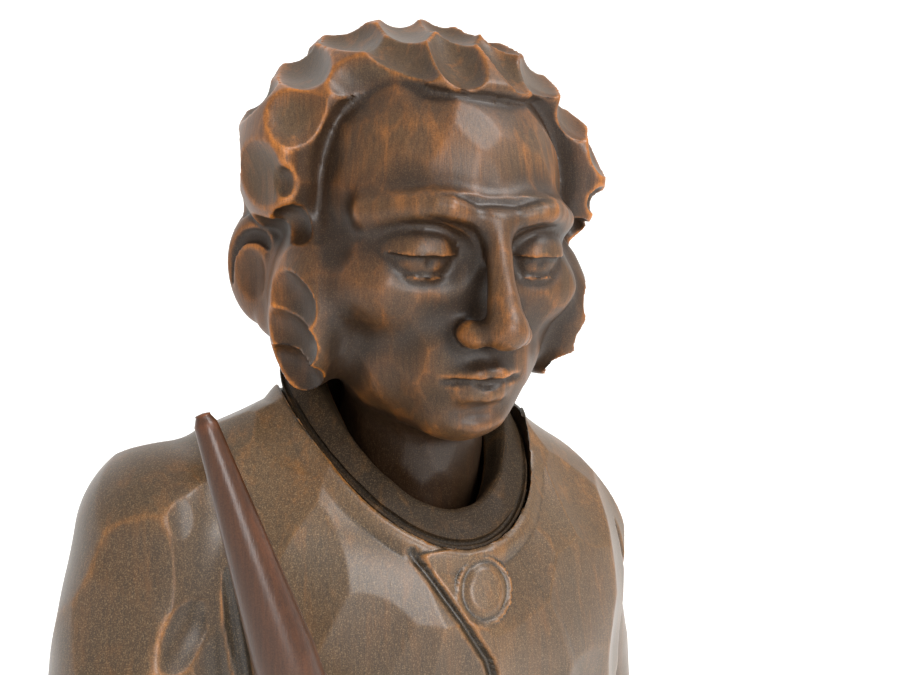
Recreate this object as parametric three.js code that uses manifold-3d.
// A carved and stained wooden figurine: an old man in a long buttoned coat, leaning on a
// tapered staff, standing on a plinth. Millimetres, +Z up, the figure faces -Y.
// The origin is the centre of the felt's underside.
import * as THREE from "three";
import { mergeVertices } from "three/addons/utils/BufferGeometryUtils.js";
import Module from "manifold-3d";

// ---- driving dimensions ----
const BASE = { width: 132, depth: 120, corner: 16, bottom: 1.5, top: 22, bevel: 3 };
const FELT = { thick: 1.5, inset: 4 };
const FIGURE_Y = 18; // the figure stands this far behind the plinth's middle
const GAP = 0.3; // clearance between touching pieces
const LEG_X = 15.5;
const TOE_OUT = THREE.MathUtils.degToRad(9);
const HEM_Z = 90;
const SHOULDER_RAISE = 0.15; // the staff shoulder rides up, per mm out from the middle
const HEAD_CENTRE = new THREE.Vector3(0, -4, 292);
const HEAD_TILT = THREE.MathUtils.degToRad(12);
const NECK = { foot: 240, spigotRadius: 10.5, radius: 12.6 };
const STAFF = {
  top: new THREE.Vector3(-36.6, -34.6, 273.8),
  foot: new THREE.Vector3(34, -62, 17),
  radius: 3.4,
  footRadius: 2.8,
  tipRadius: 1.05,
  taper: 45,
};
const FIST_Z = 178;
const ELBOW = new THREE.Vector3(-50, -11, 186);
const JOINT_AT = 8; // the elbow glue line, along the forearm from the elbow
const WRIST_BACK = 15; // from the fist's middle back to the cuff
const SCREW = { radius: 1.8, headRadius: 3.8, headHeight: 2.6, length: 38, z: 2.2 };
const SCREW_Y = 2;
const DOWEL = { radius: 2, length: 16 };

const wasm = await Module();
wasm.setup();
const vec = (x, y, z) => new THREE.Vector3(x, y, z);
const UP = vec(0, 0, 1);

// ---- from three.js geometry to manifold solids and back ----
function solidOf(geometry, matrix = new THREE.Matrix4()) {
  const bare = geometry.clone().applyMatrix4(matrix);
  bare.deleteAttribute("normal");
  bare.deleteAttribute("uv");
  const merged = mergeVertices(bare, 1e-4);
  const triVerts = new Uint32Array(merged.index.array);
  const vertProperties = merged.attributes.position.array;
  return new wasm.Manifold(new wasm.Mesh({ numProp: 3, vertProperties, triVerts }));
}

function meshOf(name, solid, material) {
  const { vertProperties, triVerts } = solid.getMesh();
  const geometry = new THREE.BufferGeometry();
  geometry.setAttribute("position", new THREE.BufferAttribute(vertProperties, 3));
  geometry.setIndex(new THREE.BufferAttribute(triVerts, 1));
  geometry.computeVertexNormals();
  const mesh = new THREE.Mesh(geometry, material);
  mesh.name = name;
  return mesh;
}

const joined = (solids) => solids.reduce((whole, piece) => whole.add(piece));

// ---- shapes ----
// Skins closed rings of points with the same count, and closes both ends with flat fans.
function skin(rings) {
  const sides = rings[0].length;
  const points = rings.flat();
  const faces = [];
  for (let r = 0; r + 1 < rings.length; r++)
    for (let i = 0; i < sides; i++) {
      const a = r * sides + i;
      const b = r * sides + ((i + 1) % sides);
      faces.push(a, b, b + sides, a, b + sides, a + sides);
    }
  const last = (rings.length - 1) * sides;
  for (let i = 1; i + 1 < sides; i++) {
    faces.push(0, i + 1, i);
    faces.push(last, last + i, last + i + 1);
  }
  const geometry = new THREE.BufferGeometry().setFromPoints(points);
  return geometry.setIndex(faces);
}

// A stack of ovals along Z. Each section is [z, half width, reach forward, reach back].
function stack(sections, sides, place = (p) => p) {
  const ring = ([z, width, front, back]) =>
    Array.from({ length: sides }, (_, i) => {
      const turn = (2 * Math.PI * i) / sides;
      const y = -Math.cos(turn);
      return place(vec(width * Math.sin(turn), y * (y < 0 ? front : back), z));
    });
  return solidOf(skin(sections.map(ring)));
}

// A tapered round limb through points, with a radius at each.
function limb(points, radii, sides = 8, steps = 5) {
  const curve = new THREE.CatmullRomCurve3(points);
  const frames = curve.computeFrenetFrames(steps);
  const rings = [];
  for (let s = 0; s <= steps; s++) {
    const along = (s / steps) * (radii.length - 1);
    const low = Math.min(Math.floor(along), radii.length - 2);
    const radius = THREE.MathUtils.lerp(radii[low], radii[low + 1], along - low);
    const centre = curve.getPointAt(s / steps);
    const ring = Array.from({ length: sides }, (_, i) => {
      const turn = (2 * Math.PI * i) / sides;
      return centre
        .clone()
        .addScaledVector(frames.normals[s], radius * Math.cos(turn))
        .addScaledVector(frames.binormals[s], radius * Math.sin(turn));
    });
    rings.push(ring);
  }
  return solidOf(skin(rings));
}

function rod(from, to, radius, sides = 16, endRadius = radius) {
  const length = from.distanceTo(to);
  const middle = from.clone().add(to).multiplyScalar(0.5);
  const turn = new THREE.Quaternion().setFromUnitVectors(
    vec(0, 1, 0),
    to.clone().sub(from).normalize(),
  );
  const matrix = new THREE.Matrix4().compose(middle, turn, vec(1, 1, 1));
  return solidOf(new THREE.CylinderGeometry(endRadius, radius, length, sides), matrix);
}

function ball(centre, radii, across = 14, down = 9) {
  const turn = new THREE.Quaternion().setFromAxisAngle(vec(1, 0, 0), Math.PI / 2);
  const pole = new THREE.Matrix4().makeRotationFromQuaternion(turn);
  const geometry = new THREE.SphereGeometry(1, across, down).applyMatrix4(pole);
  const place = new THREE.Matrix4().compose(centre, new THREE.Quaternion(), radii);
  return solidOf(geometry, place);
}

// ---- the staff's line, the fist on it and the forearm's line ----
const staffUp = STAFF.top.clone().sub(STAFF.foot).normalize();
const onStaff = (z) =>
  STAFF.foot.clone().addScaledVector(staffUp, (z - STAFF.foot.z) / staffUp.z);
const FIST = onStaff(FIST_Z);
const forearm = FIST.clone().sub(ELBOW).normalize();
const onForearm = (mm) => ELBOW.clone().addScaledVector(forearm, mm);
const cuffAt = FIST.distanceTo(ELBOW) - WRIST_BACK;

// ---- the coat, trousers and boots, carved from one block ----
function raised(p) {
  const share = THREE.MathUtils.smoothstep(p.z, 196, 250);
  return p.setZ(p.z - SHOULDER_RAISE * p.x * share);
}

function coatTorso() {
  const sections = [
    [HEM_Z, 44, 30.5, 33],
    [112, 42, 29, 31],
    [140, 38.5, 27, 28],
    [166, 35, 25, 25],
    [186, 33.5, 24.5, 23.5],
    [215, 37, 26, 24],
    [234, 39.5, 26.5, 24],
    [244, 40.5, 24, 23],
    [251, 40, 21, 22],
    [256, 38.5, 16, 20.5],
    [260, 34, 13, 19.5],
    [264.5, 26, 11, 18.5],
    [269, 16.5, 9, 16],
  ];
  return stack(sections, 32, raised);
}

// The turned-down collar: a band round the neck, low in front and standing at the nape.
function collar(thick) {
  const sides = 32;
  const rings = Array.from({ length: sides }, (_, i) => {
    const turn = (2 * Math.PI * i) / sides;
    const front = Math.cos(turn);
    const side = Math.sin(turn) ** 2;
    const point = (width, reach, back, z, nape) =>
      vec(
        width * Math.sin(turn),
        -front * (front > 0 ? reach : back),
        z + ((1 - front) / 2) * nape + side * 6.5 - SHOULDER_RAISE * width * Math.sin(turn),
      );
    const outer = point(21.5, 22.6, 19.5, 249.5, 21);
    const inner = point(15.4, 15, 15.5, 255, 22);
    const lift = vec(0, -0.5, 0.85).multiplyScalar(thick);
    return [
      outer.clone().add(lift),
      inner.clone().add(lift),
      inner.clone().add(vec(0, 0, -7)),
      outer.clone().add(vec(0, 0, -5)),
    ];
  });
  rings.push(rings[0]);
  const faces = [];
  for (let r = 0; r < sides; r++)
    for (let i = 0; i < 4; i++) {
      const a = r * 4 + i;
      const b = r * 4 + ((i + 1) % 4);
      const next = r + 1 === sides ? -r * 4 : 4;
      faces.push(a, b + next, b, a, a + next, b + next);
    }
  const geometry = new THREE.BufferGeometry().setFromPoints(rings.slice(0, sides).flat());
  return solidOf(geometry.setIndex(faces));
}

function trouserAndBoot(side) {
  const place = (p) => p.applyAxisAngle(UP, side * TOE_OUT).add(vec(side * LEG_X, 0, 0));
  const boot = [
    [BASE.top, 9.6, 33, 13.5],
    [26, 10.4, 34.5, 14.5],
    [31, 10, 32, 14],
    [36, 9, 22, 12.5],
    [42, 8.8, 12.5, 12],
    [56, 9.6, 11, 11.5],
  ];
  const trouser = [
    [46, 12, 13, 14],
    [60, 12.4, 13, 14],
    [78, 13.6, 14.5, 15.5],
    [HEM_Z + 6, 14.4, 16, 17],
  ];
  return stack(boot, 18, place).add(stack(trouser, 18, place));
}

function leftSleeve() {
  const points = [
    vec(29, 3, 241),
    vec(34.6, 5, 222),
    vec(38, 6, 203),
    vec(41.5, 5, 184),
    vec(45, -2, 162),
    vec(45.5, -10, 143),
  ];
  const sleeve = limb(points, [12.6, 12.4, 11.6, 11.2, 10.3, 9.8], 14, 9);
  return sleeve.add(ball(points[0], vec(12.4, 13, 12.4)));
}

function rightUpperSleeve() {
  const points = [vec(-38, -2, 251.5), vec(-41, -6, 232), vec(-46, -9, 208), ELBOW];
  const sleeve = limb(points, [12.4, 12.6, 11.9, 11.2], 14, 6);
  const shoulder = ball(points[0], vec(12.4, 14, 12.6));
  const elbow = ball(ELBOW, vec(11.2, 11.2, 11.2));
  const stub = rod(ELBOW, onForearm(JOINT_AT + 1), 10.9, 16, 10.6);
  return joined([sleeve, shoulder, elbow, stub]);
}

const leftWrist = vec(45.5, -11.9, 138.5);
const leftHandDown = vec(-0.02, -0.36, -0.93).normalize();

function figureBody() {
  const legs = [-1, 1].map(trouserAndBoot);
  const blank = joined([coatTorso(), ...legs, leftSleeve(), rightUpperSleeve(), collar(1.2)]);
  const neckHole = rod(vec(0, 0, NECK.foot - GAP), vec(0, 0, 262), NECK.spigotRadius + GAP, 24);
  const neckFunnel = stack(
    [
      [251, 12.6, 13.4, 13],
      [284, 17, 16.5, 17],
    ],
    24,
  );
  const pilotHoles = [-1, 1].map((side) =>
    rod(
      vec(side * LEG_X, SCREW_Y, BASE.top - 1),
      vec(side * LEG_X, SCREW_Y, SCREW.z + SCREW.length + 1),
      SCREW.radius + GAP,
      12,
    ),
  );
  const beyondElbow = rod(onForearm(JOINT_AT), onForearm(JOINT_AT + 9), 12.2, 24);
  const dowelHole = rod(
    onForearm(JOINT_AT - DOWEL.length / 2 - GAP),
    onForearm(JOINT_AT + 1),
    DOWEL.radius + GAP,
    12,
  );
  const wristHole = rod(
    leftWrist.clone().addScaledVector(leftHandDown, -7),
    leftWrist.clone().addScaledVector(leftHandDown, 6),
    6.1 + GAP,
    16,
  );
  return [neckHole, neckFunnel, ...pilotHoles, beyondElbow, dowelHole, wristHole].reduce(
    (whole, cut) => whole.subtract(cut),
    blank,
  );
}

// ---- the head, with its neck and spigot ----
const headMatrix = new THREE.Matrix4()
  .makeRotationX(HEAD_TILT)
  .setPosition(HEAD_CENTRE);

function head() {
  const skull = ball(vec(0, 2, 8), vec(20, 24, 22.5), 18, 12);
  const hair = ball(vec(0.8, 5, 11), vec(25.4, 25, 20.3), 22, 14);
  const jaw = ball(vec(0, -8, -8), vec(17, 14, 17), 16, 12);
  const chin = ball(vec(0, -17, -19), vec(7.5, 6, 5.5), 10, 7);
  const noseBridge = ball(vec(0, -20.5, -1), vec(2.8, 4.5, 6.5), 8, 6);
  const noseTip = ball(vec(0, -23, -6.6), vec(3.8, 4.6, 3.2), 10, 6);
  const brow = ball(vec(0, -16.5, 6), vec(15, 6, 3.6), 12, 6);
  const lips = ball(vec(0, -20, -13.6), vec(6.2, 2.8, 2.6), 10, 6);
  const sides = [-1, 1].flatMap((side) => [
    ball(vec(side * 20.8, -5.5, -7.4), vec(4.6, 10, 11.6), 12, 8),
    ball(vec(side * 23, 6, -1.5), vec(3, 5.4, 8), 10, 7),
    ball(vec(side * 22, -3, 9), vec(5.5, 12, 10), 12, 8),
  ]);
  const carved = joined([skull, hair, jaw, chin, noseBridge, noseTip, brow, lips, ...sides]);
  const neckTop = vec(0, 0, 276);
  const neck = limb([vec(0, 0.5, 252), vec(0, 0, 262), neckTop], [12.1, 11.8, 12.4], 24, 4);
  const spigot = rod(vec(0, 0, NECK.foot), vec(0, 0, 256), NECK.spigotRadius, 24);
  return joined([carved.transform(headMatrix.elements), neck, spigot]);
}

// ---- the right sleeve in front of the elbow, and the fist ----
function rightForearm() {
  const ends = [onForearm(JOINT_AT + GAP), onForearm(cuffAt * 0.55), onForearm(cuffAt)];
  const sleeve = limb(ends, [10.7, 10.4, 10.6], 20, 6);
  const dowelHole = rod(
    onForearm(JOINT_AT - 1),
    onForearm(JOINT_AT + DOWEL.length / 2 + GAP),
    DOWEL.radius + GAP,
    12,
  );
  const wristHole = rod(onForearm(cuffAt - 9), onForearm(cuffAt + 2), 6.2 + GAP, 16);
  return sleeve.subtract(dowelHole).subtract(wristHole);
}

// The grip's own frame: z along the staff, x the way the forearm points, y across the palm.
function gripMatrix() {
  const z = staffUp.clone();
  const x = forearm.clone().addScaledVector(z, -forearm.dot(z)).normalize();
  const y = z.clone().cross(x);
  return new THREE.Matrix4().makeBasis(x, y, z).setPosition(FIST);
}

function rightHand() {
  const fingerRadius = 2.5;
  const wrap = STAFF.radius + fingerRadius;
  const fingers = [-1.5, -0.5, 0.5, 1.5].map((place) => {
    const z = place * 4.6;
    const at = (degrees, out = 0) => {
      const turn = THREE.MathUtils.degToRad(degrees);
      return vec((wrap + out) * Math.cos(turn), (wrap + out) * Math.sin(turn), z);
    };
    const path = [at(-105, 1), at(-55, 0.8), at(0, 0.6), at(60, 0.3), at(115)];
    return limb(path, [2.9, 2.8, 2.6, 2.5, 2.2], 8, 7);
  });
  const palm = ball(vec(-3.2, -6, 0), vec(8, 4.6, 9.6));
  const heel = ball(vec(-7.5, -1.5, 0), vec(5.5, 6.5, 8));
  const thumb = limb(
    [vec(-7, 3, 5), vec(-2.5, 7.2, 7), vec(4, 7.6, 7.2)],
    [3.4, 3, 2.4],
  );
  const grip = joined([...fingers, palm, heel, thumb]).transform(gripMatrix().elements);
  const wrist = rod(onForearm(cuffAt - 8), onForearm(cuffAt + 8), 6.2, 16, 6.4);
  const bore = rod(onStaff(FIST_Z - 25), onStaff(FIST_Z + 25), STAFF.radius + GAP, 20);
  return grip.add(wrist).subtract(bore);
}

// ---- the left hand, hanging half closed ----
function leftHand() {
  const z = leftHandDown.clone().negate();
  const x = vec(1, 0, 0).addScaledVector(z, -z.x).normalize();
  const place = new THREE.Matrix4().makeBasis(x, z.clone().cross(x), z).setPosition(leftWrist);
  const wrist = solidOf(
    new THREE.CylinderGeometry(6.1, 6.1, 12, 16).rotateX(Math.PI / 2),
    new THREE.Matrix4().makeTranslation(0, 0, -0.4),
  );
  const palm = ball(vec(0.6, 0, -12.5), vec(4.6, 8.4, 9.2));
  const fingers = [-1.5, -0.5, 0.5, 1.5].map((rank) => {
    const y = rank * 4.2;
    const drop = 0.9 * Math.abs(rank - 0.3);
    return limb(
      [
        vec(1.8, y, -16),
        vec(1.6, y, -23 + drop),
        vec(-2, y, -27 + drop),
        vec(-5.6, y, -23.5 + drop),
      ],
      [2.7, 2.6, 2.4, 2.1],
      8,
      6,
    );
  });
  const thumb = limb(
    [vec(-0.5, -6, -8), vec(-2.5, -9.4, -13.5), vec(-3.4, -8.2, -19.5)],
    [3.2, 2.8, 2.2],
  );
  return joined([wrist, palm, ...fingers, thumb]).transform(place.elements);
}

// ---- the staff ----
function staff() {
  const length = STAFF.top.distanceTo(STAFF.foot);
  const profile = [
    new THREE.Vector2(0, 0),
    new THREE.Vector2(STAFF.footRadius - 0.6, 0),
    new THREE.Vector2(STAFF.footRadius, 0.8),
    new THREE.Vector2(STAFF.radius, 70),
    new THREE.Vector2(STAFF.radius, length - STAFF.taper),
    new THREE.Vector2(STAFF.radius * 0.9, length - STAFF.taper * 0.56),
    new THREE.Vector2(STAFF.radius * 0.52, length - STAFF.taper * 0.22),
    new THREE.Vector2(STAFF.tipRadius, length - 1),
    new THREE.Vector2(STAFF.tipRadius * 0.6, length - 0.2),
    new THREE.Vector2(0, length),
  ];
  const turn = new THREE.Quaternion().setFromUnitVectors(vec(0, 1, 0), staffUp);
  const place = new THREE.Matrix4().compose(STAFF.foot, turn, vec(1, 1, 1));
  return solidOf(new THREE.LatheGeometry(profile, 16), place);
}

// ---- the plinth, its felt and its fasteners ----
function plinthOutline(inset) {
  const w = BASE.width / 2 - inset;
  const d = BASE.depth / 2 - inset;
  const r = BASE.corner - inset;
  const shape = new THREE.Shape();
  shape.moveTo(w, r - d);
  shape.lineTo(w, d - r);
  shape.absarc(w - r, d - r, r, 0, Math.PI / 2);
  shape.absarc(r - w, d - r, r, Math.PI / 2, Math.PI);
  shape.absarc(r - w, r - d, r, Math.PI, 1.5 * Math.PI);
  shape.absarc(w - r, r - d, r, 1.5 * Math.PI, 2 * Math.PI);
  return shape;
}

function screwSolid(side, clearance) {
  const at = (z) => vec(side * LEG_X, FIGURE_Y + SCREW_Y, z);
  const foot = SCREW.z - (clearance ? 1 : 0);
  const neckZ = SCREW.z + SCREW.headHeight;
  const topZ = clearance ? BASE.top + 1 : SCREW.z + SCREW.length;
  const headRadius = SCREW.headRadius + clearance;
  const shank = SCREW.radius + clearance;
  const cone = rod(at(SCREW.z), at(neckZ), headRadius, 16, shank);
  const stem = rod(at(SCREW.z + 0.5), at(topZ - 3), shank, 16);
  const point = rod(at(topZ - 3.01), at(topZ), shank, 16, clearance ? shank : 0.4);
  const recess = rod(at(foot), at(SCREW.z + 0.01), headRadius, 16);
  return clearance ? joined([cone, stem, point, recess]) : joined([cone, stem, point]);
}

function plinth() {
  const slab = new THREE.ExtrudeGeometry(plinthOutline(BASE.bevel), {
    depth: BASE.top - BASE.bottom - BASE.bevel,
    bevelEnabled: true,
    bevelSize: BASE.bevel,
    bevelThickness: BASE.bevel,
    bevelSegments: 1,
    curveSegments: 6,
  });
  const raisedSlab = solidOf(slab, new THREE.Matrix4().makeTranslation(0, 0, BASE.bottom));
  const under = rod(vec(0, 0, BASE.bottom - 20), vec(0, 0, BASE.bottom), 150, 8);
  const toRow = vec(0, FIGURE_Y, 0);
  const socketFloor = STAFF.foot.clone().addScaledVector(staffUp, -GAP).add(toRow);
  const socketMouth = onStaff(BASE.top + 3).add(toRow);
  const socket = rod(socketFloor, socketMouth, STAFF.footRadius + 0.4, 20);
  const holes = [-1, 1].map((side) => screwSolid(side, GAP));
  return [under, socket, ...holes].reduce((whole, cut) => whole.subtract(cut), raisedSlab);
}

function feltPad() {
  const sheet = new THREE.ExtrudeGeometry(plinthOutline(FELT.inset), {
    depth: FELT.thick,
    bevelEnabled: false,
    curveSegments: 6,
  });
  return solidOf(sheet);
}

// ---- finishes ----
const finish = (color, roughness, metalness = 0) =>
  new THREE.MeshStandardMaterial({ color, roughness, metalness });
const coatWood = finish(0x6b4c33, 0.55);
const fleshWood = finish(0x7c5230, 0.5);
const staffWood = finish(0x5f3a2c, 0.32);
const baseWood = finish(0x5a3d27, 0.55);
const dowelWood = finish(0xc8a878, 0.7);
const steel = finish(0x9c9a94, 0.35, 1);
const felt = finish(0x2e4a35, 0.95);

// ---- the assembly ----
const figure = new THREE.Group();
figure.position.set(0, FIGURE_Y, 0);
figure.add(
  meshOf("figure_body", figureBody(), coatWood),
  meshOf("head", head(), fleshWood),
  meshOf("right_forearm", rightForearm(), coatWood),
  meshOf("right_hand", rightHand(), fleshWood),
  meshOf("left_hand", leftHand(), fleshWood),
  meshOf("staff", staff(), staffWood),
  meshOf(
    "elbow_dowel",
    rod(
      onForearm(JOINT_AT - DOWEL.length / 2),
      onForearm(JOINT_AT + DOWEL.length / 2),
      DOWEL.radius,
      12,
    ),
    dowelWood,
  ),
);

const figurine = new THREE.Group();
figurine.add(
  figure,
  meshOf("base", plinth(), baseWood),
  meshOf("felt_pad", feltPad(), felt),
  meshOf("base_screw_right", screwSolid(-1, 0), steel),
  meshOf("base_screw_left", screwSolid(1, 0), steel),
);

export default figurine;
